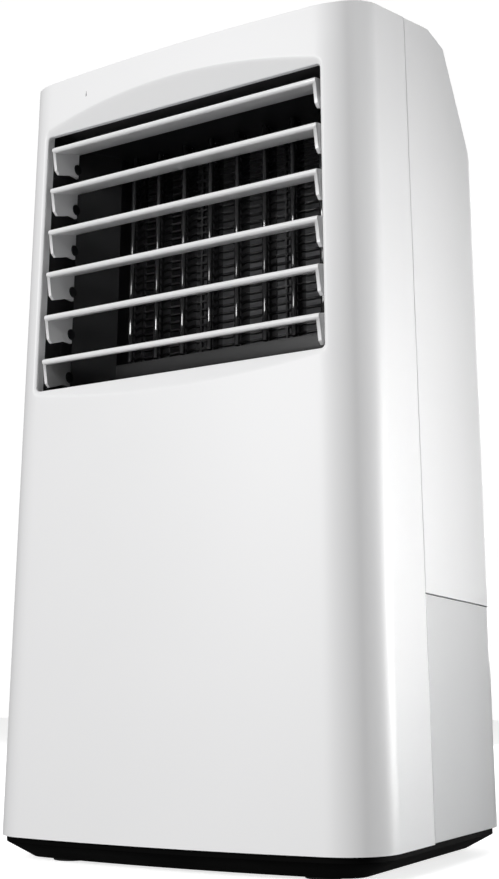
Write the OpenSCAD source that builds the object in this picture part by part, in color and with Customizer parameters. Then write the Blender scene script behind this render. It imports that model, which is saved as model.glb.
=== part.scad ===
// Portable evaporative air conditioner: a floor-standing tower with a slide-out water tank at
// the back, a centrifugal fan blowing up into a louvred outlet, and a sloping control panel.
// Millimetres, +Z up, the front faces -Y, the origin is on the floor under the middle.

/* [Housing] */
// Width of the housing
body_w = 290; // [280:1:360]
// Depth from the bulge of the front to the back
body_d = 268; // [262:1:330]
// Height of the crest of the top
body_h = 620; // [612:1:760]
// Wall of the white shells
wall = 2.6; // [2:0.1:3.2]
// How far the front bulges in the middle
front_bulge = 6.5; // [4:0.5:9]
// Radius of the two front corners
front_r = 38; // [30:1:42]
// Radius of the two back corners
rear_r = 35; // [28:1:40]
// How much further back the back wall is at its top than at the floor
rear_lean = 15; // [0:1:20]

/* [Top] */
// How far the front edge of the top lies below the crest
front_drop = 50; // [40:1:60]
// Distance from the front corners to the crest
crest_run = 146; // [135:1:160]
// Level length behind the crest
crest_flat = 34; // [25:1:40]
// How far below the crest the back slope meets the back wall
rear_drop = 112; // [100:1:125]
// Thickness of the top cover
cover_t = 3; // [2:0.1:3.2]
// Gap round the top cover
cover_gap = 0.4; // [0.2:0.1:0.8]
// Level strip of the back shell behind the top cover
cover_end = 8; // [5:0.5:12]

/* [Seams] */
// Distance from the front corners to the side seam
seam_run = 93.5; // [92:0.5:100]
// Gap at the side seam
seam_gap = 0.7; // [0.4:0.1:1.2]
// Tongue of the front shell inside the back shell
tongue_l = 5; // [3:0.5:8]
// Thickness of the tongue
tongue_t = 1.2; // [0.8:0.1:1.6]

/* [Outlet] */
// Width of the outlet opening
outlet_w = 234; // [210:1:236]
// Height of the outlet opening
outlet_h = 204; // [198:1:210]
// From the front edge of the top down to the opening
outlet_drop = 44; // [40:1:50]
// How far the opening's inner edge lies behind the front corners
lip_depth = 3.6; // [3:0.1:5]
// Height of the bevel above the opening
bevel_up = 17; // [12:0.5:18]
// Height of the bevel below the opening
bevel_down = 14; // [10:0.5:16]
// Width of the bevel beside the opening
bevel_side = 15; // [8:0.5:16]
// Depth of the white rim behind the opening
rim_depth = 8; // [6:0.5:10]
// Clearance above the louvres inside the rim
rim_over = 6; // [5:0.5:8]
// Clearance below the louvres inside the rim
rim_under = 8; // [7:0.5:10]

/* [Duct] */
// Wall of the outlet duct
duct_t = 2.2; // [1.8:0.1:2.6]
// Length of the straight part that holds the louvres
duct_straight = 32.4; // [31:0.1:36]
// Distance from the front corners to the throat
throat_run = 72; // [70:0.5:76]
// Half width of the throat
throat_hw = 95; // [94:0.5:98]
// Step up from the opening's lower edge to the throat
throat_step = 34; // [30:0.5:38]
// Length of the throat
throat_l = 32; // [30:0.5:34]
// Pitch of the bars of the guard grille
guard_pitch = 6.5; // [5:0.5:9]
// Thickness of the bars of the guard grille
guard_bar = 1.5; // [1.2:0.1:2]
// Depth of the guard grille
guard_t = 3.4; // [2.4:0.1:3.6]

/* [Louvres] */
// Number of louvres
louvre_n = 6; // [6:1:6]
// Pitch of the louvres
louvre_pitch = 34.1; // [33:0.1:35]
// From the opening's upper edge to the first pivot
louvre_top = 16.3; // [16:0.1:18]
// Gap between a louvre and the side of the opening
louvre_gap = 4; // [3.6:0.1:5]
// Distance from the pivot to the louvre's front lip
louvre_reach = 29.9; // [28:0.1:30.5]
// Height of the front lip
lip_h = 4.5; // [3.5:0.1:5]
// Radius of the pivot pins
pivot_r = 4; // [3:0.1:4.2]
// Clearance of the clips round the pivot pins
clip_gap = 0.35; // [0.3:0.05:0.5]
// Thickness of the end plates
plate_t = 2.4; // [2:0.1:2.8]
// Radius of the crank pins on the louvres
crank_r = 1.5; // [1.2:0.1:1.8]
// Clearance of the tie bars round the crank pins
crank_gap = 0.35; // [0.3:0.05:0.5]

/* [Vanes] */
// Number of vanes
vane_n = 8; // [8:1:8]
// Pitch of the vanes
vane_pitch = 23.9; // [23:0.1:24]
// Depth of a vane
vane_chord = 22; // [20:0.5:24]
// Thickness of a vane in its middle
vane_t = 2.4; // [2:0.1:3]
// Radius of a vane's pivot pins
vane_pin_r = 1.5; // [1.2:0.1:1.8]
// Clearance round a vane's pivot pins
vane_pin_gap = 0.35; // [0.3:0.05:0.5]
// Length of a vane's crank
vane_crank = 10; // [9.5:0.1:11]

/* [Fan] */
// Radius of the fan wheel
wheel_r = 80; // [74:1:82]
// Depth of the fan wheel
wheel_d = 60; // [50:1:64]
// Number of blades of the fan wheel
wheel_blades = 28; // [20:1:36]
// Height of the fan axis above the deck
fan_up = 95.2; // [95:0.1:96]
// Gap between the wheel and the scroll at its tongue
scroll_gap = 6; // [5:0.5:7]
// How much the scroll's radius grows per degree
scroll_growth = 0.05; // [0.03:0.005:0.055]
// Wall of the scroll
scroll_t = 2.2; // [1.8:0.1:2.4]
// Depth of the scroll
scroll_d = 78; // [76:1:82]
// Radius of the inlet of the scroll
inlet_r = 60; // [50:1:64]
// Radius of the fan motor
motor_r = 36; // [30:1:36]
// Length of the fan motor
motor_l = 50; // [40:1:52]
// Radius of the motor shaft
shaft_r = 4; // [3:0.1:5]
// Running clearance of the motor shaft
shaft_gap = 0.35; // [0.3:0.05:0.5]

/* [Cooling] */
// Height of the intake panel
panel_h = 280; // [270:1:290]
// Half width of the intake panel
panel_hw = 114; // [105:1:114]
// From the back slope's foot down to the intake panel
panel_drop = 38; // [36:1:44]
// Gap round the intake panel
panel_gap = 0.6; // [0.5:0.1:1]
// Thickness of the intake panel
panel_t = 5; // [4:0.5:6]
// Pitch of the bars of the intake panel
panel_pitch = 11; // [9:0.5:14]
// Thickness of the cooling pad
pad_t = 24; // [18:1:26]
// Width of the pad frame's border
pad_border = 8; // [6:0.5:10]

/* [Tank] */
// Height of the top of the water tank
tank_top = 171.5; // [160:0.5:171.5]
// Wall of the water tank
tank_t = 2.8; // [2.4:0.1:3.4]
// Gap under the tank and above it
tank_gap = 0.6; // [0.5:0.1:1]
// Thickness of the deck over the tank
deck_t = 4; // [3:0.5:5]
// Height of the base
base_h = 16; // [14:1:20]
// How far the foot of the base is set in
base_taper = 22; // [16:1:26]
// Height of the rubber feet below the base
foot_h = 2; // [1.5:0.5:3]

/* [Controls] */
// Length of the control panel across the top
panel_len = 190; // [170:1:200]
// Width of the control panel up the slope
panel_wid = 46; // [40:1:52]
// Radius of the buttons
button_r = 7.5; // [6:0.5:9]
// Pitch of the buttons
button_pitch = 22; // [20:0.5:24]
// Travel of the buttons
button_travel = 1.2; // [0.8:0.1:1.6]
// Gap round the buttons
button_gap = 0.35; // [0.3:0.05:0.6]

/* [Hidden] */
$fn = 48;
fine = 360;      // facets of the very large radii
eps = 0.05;      // overshoot of a cut past a face
far = 400;       // longer than the whole object

// Housing
front_y = -body_d/2 + front_bulge;
back_y = body_d/2;
slope_z = body_h - rear_drop;
front_h = body_h - front_drop;
lean_a = atan(rear_lean/slope_z);
top_k = front_drop/crest_run;
top_a = atan(top_k);
crest_y = front_y + crest_run;
crest_end = crest_y + crest_flat;
back_m = rear_drop/(back_y - crest_end);
seam_y = front_y + seam_run;
cover_y = crest_end - cover_end;
corner_x = body_w/2 - front_r;
bulge_r = (corner_x*corner_x + front_bulge*front_bulge)/(2*front_bulge);
bulge_c = front_y - front_bulge + bulge_r;
corner_y = bulge_c - sqrt(pow(bulge_r - front_r, 2) - pow(corner_x, 2));
corner_bite = 0.08;  // how far the corners run into the bulge where they meet it
function rear_y(z) = back_y - rear_lean*(slope_z - z)/slope_z;

// Outlet, duct and louvres
mouth_y = front_y + lip_depth;
outlet_z1 = front_h - outlet_drop;
outlet_z0 = outlet_z1 - outlet_h;
outlet_hw = outlet_w/2;
rim_relief = 0.3;  // how far the rim stands back from the bevel's inner edge
rim_hw = outlet_hw + rim_relief;
rim_z0 = outlet_z0 - rim_under;
rim_z1 = outlet_z1 + rim_over;
duct_y0 = mouth_y + rim_depth + 0.2;
duct_y1 = duct_y0 + duct_straight;
throat_y = front_y + throat_run;
throat_y1 = throat_y + throat_l;
throat_z0 = outlet_z0 + throat_step;
throat_z1 = rim_z1;
duct_hw = outlet_hw + 0.5;
louvre_hw = outlet_hw - louvre_gap;
pivot_y = mouth_y + louvre_reach;
pin_end = louvre_hw - plate_t - 0.6;
function pivot_z(i) = outlet_z1 - louvre_top - i*louvre_pitch;
louvre_crank = [-18, -7];
tie_t = 1.6;
tie_x = louvre_hw + 1;
tie_half = 3;

// Vanes
vane_y = throat_y + vane_chord/2;
vane_z0 = throat_z0 + 1.5;
vane_z1 = throat_z1 - 1.5;
arm_z = throat_z0 - duct_t - 1;
arm_t = 2.6;
vane_tie_z = arm_z - arm_t - 1;
vane_tie_t = 2.4;
vane_tie_half = 2.4;
swing_r = 14;
swing_offset = 8;
swing_z1 = vane_tie_z - vane_tie_t - 5;
swing_z0 = swing_z1 - 19;
swing_shaft_r = 2.5;
function vane_x(i) = (i - (vane_n - 1)/2)*vane_pitch;

// Tank, deck and base
tank_z0 = base_h + tank_gap;
deck_z0 = tank_top + tank_gap;
deck_z1 = deck_z0 + deck_t;
bay_y = seam_y - tank_gap;
bay_t = 2.8;

// Fan
fan_z = deck_z1 + fan_up;
guard_y = throat_y1 + 0.2;
scroll_y0 = throat_y1 + 4;
scroll_mid = scroll_y0 + scroll_d/2;
scroll_y1 = scroll_y0 + scroll_d;
wheel_y0 = scroll_y0 + 8;
scroll_r0 = wheel_r + scroll_gap;
plenum_hw = throat_hw + scroll_t;
tongue_a = 30;
spiral_turn = 210;
spiral_steps = 42;
motor_y1 = scroll_y0 - 8;
motor_y0 = motor_y1 - motor_l;
bracket_t = 2.5;
bracket_r = motor_r + 9.5;

// Cooling, in the frame of the leaning back wall: y = 0 is its outer face, z = 0 the slope's foot
panel_z1 = -panel_drop;
panel_z0 = panel_z1 - panel_h;
filter_y = -12;
cassette_y1 = -17;
cassette_y0 = cassette_y1 - pad_t - 4;
cassette_hw = panel_hw - 1;
cassette_in = 5;
tray_z0 = slope_z - panel_drop + 4;
tray_h = 14;
tray_hw = 105;
tray_y1 = back_y - 16;
tray_y0 = tray_y1 - 32;
tray_t = 2;
hose_x = -(body_w/2 - 15);
hose_y = (tray_y0 + tray_y1)/2 - 4;
hose_r = 4.5;
hose_bend = 12;
hose_top = tray_z0 + tray_h/2 + 1;

// Pump, float and latch
pump_x = hose_x + 16;
pump_y = hose_y - 12;
pump_z0 = tank_z0 + 3.4;
pump_w = 36;
pump_l = 36;
pump_h = 34;
float_x = body_w/2 - 60;
float_y = 60;
float_z = 120;
latch_z = deck_z1 + 6;
latch_r = 3;
latch_len = 30;
latch_wid = 12;
latch_t = 4;
latch_boss_r = latch_r + 2;
latch_boss_l = 12;

// Controls, in the frame of the sloping top: y runs up the slope, z = 0 is its outer face
panel_mid = 84;
pocket_gap = 0.3;
panel_plate = 2.4;
button_names = ["button_power", "button_speed", "button_swing", "button_cool", "button_timer"];

white = [0.93, 0.93, 0.93];
black = [0.05, 0.05, 0.05];
dark = [0.16, 0.16, 0.17];
grey = [0.55, 0.56, 0.58];
metal = [0.72, 0.73, 0.75];
brown = [0.45, 0.33, 0.2];

// ---- the outline of the housing ----

// Plan of the front half: bulged front, round corners, sides running far back
module front_plan(w) {
  big = bulge_r - w;
  touch = corner_x*big/(bulge_r - front_r);
  intersection() {
    translate([0, bulge_c]) circle(big, $fn = fine);
    translate([0, corner_y - corner_bite]) {
      for (s = [-1, 1])
        translate([s*corner_x, 0]) circle(front_r - w);
      translate([-touch, -far/2]) square([2*touch, far]);
      translate([-body_w/2 + w, 0]) square([body_w - 2*w, far]);
    }
  }
}

// Plan of the back half, with the back wall at y = 0
module rear_plan(w) {
  for (s = [-1, 1])
    translate([s*(body_w/2 - rear_r), -rear_r]) circle(rear_r - w);
  translate([-body_w/2 + rear_r, -far]) square([body_w - 2*rear_r, far - w]);
  translate([-body_w/2 + w, -far]) square([body_w - 2*w, far - rear_r]);
}

// Places children in the frame of the leaning back wall
module lean_frame() {
  translate([0, back_y, slope_z]) rotate([-lean_a, 0, 0]) children();
}

// Puts children that are in the housing's own frame into the frame of the leaning back wall
module from_lean_frame() {
  rotate([lean_a, 0, 0]) translate([0, -back_y, -slope_z]) children();
}

module rear_prism(w) {
  lean_frame() translate([0, 0, -slope_z - 60]) linear_extrude(slope_z + rear_drop + 120) rear_plan(w);
}

// Side profile under the top, set in by w; an open one has no roof in front of the back slope
module roof_prism(w, open = false) {
  t = w*sqrt(1 + top_k*top_k);
  b = w*sqrt(1 + back_m*back_m);
  rise = [front_y + (body_h - w - front_h + t)/top_k, body_h - w];
  fall = [crest_end + (w - b)/back_m, body_h - w];
  foot = [back_y + far, body_h - back_m*(back_y + far - crest_end) - b];
  closed_top = [[-far, front_h - top_k*(far + front_y) - t], rise, fall, foot];
  open_top = [[-far, body_h + far], [cover_y, body_h + far], [cover_y, body_h - w], fall, foot];
  rotate([90, 0, 90]) linear_extrude(body_w + 40, center = true)
    polygon(concat([[-far, foot[1]]], open ? open_top : closed_top));
}

// The outer form between two heights, its walls set in by w and its roof by roof_w
module form(w, z0, z1, roof_w = 0) {
  intersection() {
    translate([0, 0, z0]) linear_extrude(z1 - z0) front_plan(w);
    rear_prism(w);
    roof_prism(roof_w);
  }
}

// The room inside the shells, open at the top where the cover goes
module room(w, z0, z1) {
  intersection() {
    translate([0, 0, z0]) linear_extrude(z1 - z0) front_plan(w);
    rear_prism(w);
    roof_prism(w, true);
  }
}

module footprint(w) {
  intersection() {
    front_plan(w);
    translate([0, rear_y(0)]) rear_plan(w);
  }
}

// A block that keeps everything behind, or in front of, a plane across the housing
module behind(y) translate([-far, y, -far]) cube([2*far, 2*far, 4*far]);
module before(y) translate([-far, y - 2*far, -far]) cube([2*far, 2*far, 4*far]);

// A box between two corners
module block(a, b) translate(a) cube(b - a);

// A cylinder along Y and one along X, from one station to another
module rod_y(x, y0, y1, z, r) translate([x, y0, z]) rotate([-90, 0, 0]) cylinder(r = r, h = y1 - y0);
module rod_x(x0, x1, y, z, r) translate([x0, y, z]) rotate([0, 90, 0]) cylinder(r = r, h = x1 - x0);

module rounded_rect(w, h, r) {
  hull() for (x = [-1, 1], z = [-1, 1])
    translate([x*(w/2 - r), z*(h/2 - r)]) circle(r, $fn = 32);
}

// ---- shells ----

// The bevelled funnel round the outlet, grown by g
module funnel(g) {
  z_mid = (outlet_z0 + outlet_z1)/2;
  run = mouth_y + body_d/2;
  hull() {
    translate([0, mouth_y + g, z_mid]) rotate([90, 0, 0])
      linear_extrude(eps) rounded_rect(outlet_w + 2*g, outlet_h + 2*g, 3);
    translate([0, mouth_y - run, z_mid + (bevel_up - bevel_down)/2]) rotate([90, 0, 0])
      linear_extrude(eps)
        rounded_rect(outlet_w + 2*bevel_side + 2*g, outlet_h + bevel_up + bevel_down + 2*g, 18);
  }
}

module front_shell() {
  color(white) {
    difference() {
      union() {
        difference() {
          intersection() {
            form(0, base_h, body_h);
            before(seam_y);
          }
          room(wall, base_h - 1, body_h + 10);
        }
        intersection() {
          form(0, base_h, body_h);
          funnel(wall);
        }
        // white rim round the louvres
        block([-rim_hw - wall, mouth_y - 1, rim_z0 - wall],
              [rim_hw + wall, mouth_y + rim_depth, rim_z1 + wall]);
        // tongues behind the side seams
        for (s = [-1, 1])
          translate([s*(body_w/2 - wall - 0.25 - tongue_t/2), seam_y, (deck_z1 + slope_z)/2 + 2])
            cube([tongue_t, 2*tongue_l, slope_z - deck_z1 - 12], center = true);
        for (s = [-1, 1], z = [deck_z1 + 40, slope_z - 50])
          block([s > 0 ? body_w/2 - wall - 2 : -body_w/2 + wall/2, seam_y - 2*tongue_l, z],
                [s > 0 ? body_w/2 - wall/2 : -body_w/2 + wall + 2, seam_y - tongue_l, z + 30]);
      }
      funnel(0);
      block([-rim_hw, mouth_y - rim_relief, outlet_z0 - rim_relief],
            [rim_hw, mouth_y + 1.2*rim_depth, outlet_z1 + rim_relief]);
      block([-rim_hw, mouth_y + wall, rim_z0], [rim_hw, mouth_y + 1.2*rim_depth, rim_z1]);
      receiver_cut(0);
    }
  }
}

// Small window for the remote receiver, above the outlet on the left
receiver_x = -80;
receiver_z = front_h - 19;
module receiver_cut(g) rod_y(receiver_x, -body_d/2 - 5, front_y + 6, receiver_z, 4 - g);
module receiver_window() {
  color(dark) intersection() {
    form(0, base_h, body_h);
    rod_y(receiver_x, -body_d/2, front_y + 3, receiver_z, 3.8);
  }
}

screw_x = 90;
screw_up = slope_z - 14;
screw_low = deck_z1 + 5.5;
screw_post_r = 4;
module rear_shell() {
  color(white) {
    difference() {
      union() {
        difference() {
          intersection() {
            form(0, deck_z0, body_h);
            behind(seam_y + seam_gap);
          }
          room(wall, deck_z0 - 1, body_h + 10);
        }
        // posts that meet the scroll
        for (x = [-screw_x, screw_x], z = [screw_up, screw_low])
          rod_y(x, scroll_y1, rear_y(z) - wall/2, z, screw_post_r);
        // ledge under the back of the drip tray
        block([-tray_hw, tray_y1 - 6, tray_z0 - 2.2], [tray_hw, rear_y(tray_z0) - wall/2, tray_z0]);
        // boss of the tank latch
        rod_y(0, rear_y(latch_z) - latch_boss_l, rear_y(latch_z) - wall/2, latch_z, latch_boss_r);
      }
      lean_frame()
        block([-panel_hw - panel_gap, -2*wall, panel_z0 - panel_gap],
              [panel_hw + panel_gap, 2*wall, panel_z1 + panel_gap]);
      for (x = [-screw_x, screw_x], z = [screw_up, screw_low]) {
        rod_y(x, scroll_y1 + 2, back_y + 5, z, 2);
        rod_y(x, rear_y(z) - 6, back_y + 5, z, 3.6);
      }
      rod_y(0, rear_y(latch_z) - latch_boss_l - 1, back_y + 5, latch_z, latch_r + 0.35);
      rod_x(-body_w/2 - 2, -body_w/2 + 6, gland_y, gland_z, gland_r);
    }
  }
}

gland_y = 10;
gland_z = deck_z1 + 22;
gland_r = 8;
module cord_gland() {
  color(dark) difference() {
    union() {
      rod_x(-body_w/2 + 0.2, -body_w/2 + wall + 4, gland_y, gland_z, gland_r);
      rod_x(-body_w/2 + wall, -body_w/2 + wall + 2, gland_y, gland_z, gland_r + 3);
    }
    rod_x(-body_w/2 - 1, -body_w/2 + 20, gland_y, gland_z, 3.6);
  }
}

// Places children in the frame of the sloping top
module slope_frame() {
  translate([0, front_y, front_h]) rotate([top_a, 0, 0]) children();
}

// Lid of the sloping top, flush inside the rim of the shells
module top_cover() {
  color(white) difference() {
    intersection() {
      form(wall + cover_gap, base_h, body_h + 1);
      before(cover_y - cover_gap);
    }
    roof_prism(cover_t);
    slope_frame() translate([0, panel_mid, 0]) {
      cube([panel_len + 2*pocket_gap, panel_wid + 2*pocket_gap, 2*panel_plate], center = true);
      cube([panel_len - 8, panel_wid - 8, 40], center = true);
    }
  }
}

module control_panel() {
  color(black) slope_frame() translate([0, panel_mid, 0]) difference() {
    translate([0, 0, -panel_plate/2]) cube([panel_len, panel_wid, panel_plate], center = true);
    for (i = [0:4])
      translate([(i - 2)*button_pitch, -11, -panel_plate - 1])
        cylinder(r = button_r + button_gap, h = panel_plate + 2);
    translate([0, 12, 0]) cube([display_w + 0.2, display_d + 0.2, 3*panel_plate], center = true);
  }
}
display_w = 60;
display_d = 14;
module display_window() {
  color(dark) slope_frame() translate([0, panel_mid + 12, -panel_plate/2])
    cube([display_w, display_d, panel_plate], center = true);
}

module button(i) {
  color(grey) slope_frame() translate([(i - 2)*button_pitch, panel_mid - 11, 0]) {
    difference() {
      translate([0, 0, -panel_plate - 1]) cylinder(r = button_r, h = panel_plate + 2.4);
      translate([0, 0, 31.2]) sphere(r = 30.2, $fn = 96);
    }
    translate([0, 0, -panel_plate - 5]) cylinder(r = 2.5, h = 4 + eps);
  }
}

module control_board() {
  color("darkgreen") slope_frame()
    translate([0, panel_mid, -panel_plate - 8.5]) {
      cube([panel_len - 30, panel_wid, 1.6], center = true);
      for (x = [-72, 72])
        translate([x, 0, 1.6]) cube([14, 22, 2.4], center = true);
    }
  color("darkgreen") slope_frame()
    for (x = [-1, 1], y = [-1, 1])
      translate([x*(panel_len/2 - 18), panel_mid + y*(panel_wid/2 - 2), -panel_plate - 8])
        cylinder(r = 2.2, h = 8 + panel_plate - cover_t);
}

// ---- outlet ----

module duct_plan(g) {
  polygon([
    [-duct_hw - g, duct_y0 - (g > 0 ? 0 : 1)], [-duct_hw - g, duct_y1],
    [-throat_hw - g, throat_y + g], [throat_hw + g, throat_y + g],
    [duct_hw + g, duct_y1], [duct_hw + g, duct_y0 - (g > 0 ? 0 : 1)]
  ]);
}

module outlet_duct() {
  color(black) {
    difference() {
      union() {
        translate([0, 0, rim_z0 - duct_t]) linear_extrude(rim_z1 - rim_z0 + 2*duct_t) duct_plan(duct_t);
        block([-throat_hw - duct_t, throat_y, throat_z0 - duct_t],
              [throat_hw + duct_t, throat_y1, throat_z1 + duct_t]);
        // lugs that sit behind the front shell's rim
        for (s = [-1, 1], z = [rim_z0 + 20, rim_z1 - 40])
          block([s > 0 ? duct_hw : -duct_hw - 9, duct_y0, z], [s > 0 ? duct_hw + 9 : -duct_hw, duct_y0 + 3, z + 20]);
      }
      translate([0, 0, rim_z0]) linear_extrude(rim_z1 - rim_z0) duct_plan(0);
      block([-throat_hw, throat_y - 1, throat_z0], [throat_hw, throat_y1 + 1, throat_z1]);
      for (i = [0:vane_n - 1])
        translate([vane_x(i), vane_y, throat_z0 - duct_t - 1])
          cylinder(r = vane_pin_r + vane_pin_gap, h = throat_z1 - throat_z0 + 2*duct_t + 2);
    }
    for (s = [-1, 1], i = [0:louvre_n - 1])
      rod_x(s > 0 ? pin_end : -duct_hw - eps, s > 0 ? duct_hw + eps : -pin_end, pivot_y, pivot_z(i), pivot_r);
    // shelf under the swing motor
    block([vane_x(0) - swing_r - 2, throat_y + duct_t - eps, swing_z0 - 2.2],
          [vane_x(0) + swing_r + 2, throat_y1, swing_z0]);
  }
}

module guard_grille() {
  n = floor((throat_z1 - throat_z0)/guard_pitch);
  color(dark) {
    difference() {
      block([-throat_hw - duct_t, guard_y, throat_z0 - duct_t],
            [throat_hw + duct_t, guard_y + guard_t, throat_z1 + duct_t]);
      block([-throat_hw, guard_y - 1, throat_z0], [throat_hw, guard_y + guard_t + 1, throat_z1]);
    }
    for (i = [1:n - 1])
      block([-throat_hw - eps, guard_y, throat_z0 + i*guard_pitch],
            [throat_hw + eps, guard_y + guard_t, throat_z0 + i*guard_pitch + guard_bar]);
    for (x = [-2:2])
      block([x*throat_hw/2.5 - guard_bar/2, guard_y, throat_z0 - eps],
            [x*throat_hw/2.5 + guard_bar/2, guard_y + guard_t, throat_z1 + eps]);
  }
}

// Section of a louvre blade, with the pivot at the origin: (y, z)
lip_y = -louvre_reach;
lip_z = 7.5;
blade_rear = [5, 17.6];
blade_t = 2.2;
module louvre_section() {
  translate([lip_y + lip_h/2, lip_z - lip_h/2]) circle(lip_h/2);
  polygon([
    [lip_y + lip_h/2, lip_z], [blade_rear[0], blade_rear[1]], [blade_rear[0], blade_rear[1] - blade_t],
    [lip_y + lip_h + 3, lip_z - lip_h + 1.6], [lip_y + lip_h/2, lip_z - lip_h]
  ]);
}

// Hanging end plate with a clip that opens to the back
module end_plate_section() {
  difference() {
    polygon([
      [lip_y + 1, lip_z - lip_h + 1], [lip_y + 4.2, -10.8], [lip_y + 7.6, -13], [-14.5, -10.2],
      [-7.4, -7.4], [1.5, -6.9], [1.5, blade_rear[1] - 1], [lip_y + lip_h/2, lip_z - 1]
    ]);
    circle(pivot_r + clip_gap);
    translate([0, -pivot_r - clip_gap]) square([far, 2*(pivot_r + clip_gap)]);
  }
}

module louvre(i) {
  color(white) translate([0, pivot_y, pivot_z(i)]) {
    rotate([90, 0, 90]) linear_extrude(2*louvre_hw, center = true) louvre_section();
    for (s = [-1, 1])
      translate([s > 0 ? louvre_hw - plate_t : -louvre_hw, 0, 0]) rotate([90, 0, 90])
        linear_extrude(plate_t) end_plate_section();
    rod_x(louvre_hw - eps, louvre_hw + 3.2, louvre_crank[0], louvre_crank[1], crank_r);
  }
}

module louvre_tie_bar() {
  color(white) difference() {
    translate([tie_x, pivot_y + louvre_crank[0], 0])
      block([0, -tie_half, pivot_z(louvre_n - 1) + louvre_crank[1] - 4],
            [tie_t, tie_half, pivot_z(0) + louvre_crank[1] + 4]);
    for (i = [0:louvre_n - 1])
      rod_x(tie_x - 1, tie_x + tie_t + 1, pivot_y + louvre_crank[0], pivot_z(i) + louvre_crank[1],
            crank_r + crank_gap);
  }
}

// Lens-shaped section of a vane
module vane_section() {
  r = (vane_chord*vane_chord/4 + vane_t*vane_t/4)/vane_t;
  intersection() {
    translate([r - vane_t/2, 0]) circle(r, $fn = fine);
    translate([-r + vane_t/2, 0]) circle(r, $fn = fine);
  }
}

module vane(i) {
  color(black) translate([vane_x(i), vane_y, 0]) {
    translate([0, 0, vane_z0]) linear_extrude(vane_z1 - vane_z0) vane_section();
    for (z = [vane_z0, vane_z1])
      translate([0, 0, z - 0.6]) cylinder(r = 3, h = 1.2);
    translate([0, 0, arm_z - arm_t]) cylinder(r = vane_pin_r, h = vane_z0 - arm_z + arm_t + eps);
    translate([0, 0, vane_z1 - eps]) cylinder(r = vane_pin_r, h = 1.5 + duct_t + 1);
    difference() {
      block([-2.5, -2.5, arm_z - arm_t], [2.5, vane_crank + 2.5, arm_z]);
      translate([0, 0, arm_z - arm_t - 1]) cylinder(r = vane_pin_r - eps, h = arm_t + 2);
    }
    translate([0, vane_crank, vane_tie_z - vane_tie_t - 1])
      cylinder(r = crank_r, h = arm_z - vane_tie_z + vane_tie_t + 1 - eps);
    if (i == 0)
      difference() {
        translate([0, 0, swing_z1 + 2]) cylinder(r = 4.4, h = arm_z - arm_t - swing_z1 - 2 + eps);
        translate([0, 0, swing_z1]) cylinder(r = swing_shaft_r + 0.35, h = 6.5);
      }
  }
}

module vane_tie_bar() {
  color(black) difference() {
    block([vane_x(0) - 4, vane_y + vane_crank - vane_tie_half, vane_tie_z - vane_tie_t],
          [vane_x(vane_n - 1) + 4, vane_y + vane_crank + vane_tie_half, vane_tie_z]);
    for (i = [0:vane_n - 1])
      translate([vane_x(i), vane_y + vane_crank, vane_tie_z - vane_tie_t - 1])
        cylinder(r = crank_r + crank_gap, h = vane_tie_t + 2);
  }
}

module swing_motor() {
  color(metal) translate([vane_x(0), vane_y, 0]) {
    translate([0, swing_offset, swing_z0]) cylinder(r = swing_r, h = swing_z1 - swing_z0);
    translate([0, 0, swing_z1 - eps]) cylinder(r = 4.4, h = 1.5);
    translate([0, 0, swing_z1]) cylinder(r = swing_shaft_r, h = 6);
    translate([-5, swing_offset + swing_r - 2, swing_z0 + 2]) cube([10, 5, 14]);
  }
}

// ---- fan ----

function spiral(g) = [for (k = [0:spiral_steps])
  let (a = tongue_a - k*spiral_turn/spiral_steps,
       r = scroll_r0 + scroll_growth*k*spiral_turn/spiral_steps + g)
    [r*cos(a), fan_z + r*sin(a)]];
plenum_z1 = throat_z1 + duct_t + 0.6;
flare_z = throat_z0 - 16;
module scroll_outline(g) {
  polygon(concat(
    spiral(g),
    [[-plenum_hw - g, fan_z + 10], [-plenum_hw - g, plenum_z1 + g], [plenum_hw + g, plenum_z1 + g],
     [plenum_hw + g, flare_z]]
  ));
}
module scroll_slice(g, y0, y1) translate([0, y1, 0]) rotate([90, 0, 0]) linear_extrude(y1 - y0) scroll_outline(g);

module scroll_feet(y0, y1) {
  for (s = [-1, 1])
    block([s*62 - 10, y0, deck_z1], [s*62 + 10, y1, deck_z1 + 24]);
}

module scroll_front() {
  color(dark) difference() {
    union() {
      scroll_slice(scroll_t, scroll_y0, scroll_mid);
      scroll_feet(scroll_y0, scroll_mid);
    }
    scroll_slice(0, scroll_y0 + scroll_t, scroll_mid + 1);
    block([-throat_hw, scroll_y0 - 1, throat_z0], [throat_hw, scroll_y0 + scroll_t + 1, throat_z1]);
    rod_y(0, scroll_y0 - 1, scroll_y0 + scroll_t + 1, fan_z, shaft_r + 6);
    motor_holes(scroll_y0 - 1, scroll_y0 + scroll_t + 1, 2);
  }
}

module scroll_rear() {
  color(dark) {
    difference() {
      union() {
        scroll_slice(scroll_t, scroll_mid + 0.1, scroll_y1);
        scroll_feet(scroll_mid + 0.1, scroll_y1);
      }
      scroll_slice(0, scroll_mid - 1, scroll_y1 - scroll_t);
      rod_y(0, scroll_y1 - scroll_t - 1, scroll_y1 + 1, fan_z, inlet_r);
    }
    // bell mouth
    difference() {
      rod_y(0, scroll_y1 - 7, scroll_y1 + 3, fan_z, inlet_r + 2);
      rod_y(0, scroll_y1 - 8, scroll_y1 + 4, fan_z, inlet_r);
    }
    // arms under the front of the drip tray
    for (s = [-1, 1])
      block([s*60 - 6, scroll_y1 - eps, tray_z0 - 4], [s*60 + 6, tray_y0 + 8, tray_z0]);
  }
}

module motor_holes(y0, y1, r) {
  for (a = [45:90:315])
    rod_y((motor_r + 3)*cos(a), y0, y1, fan_z + (motor_r + 3)*sin(a), r);
}

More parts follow.
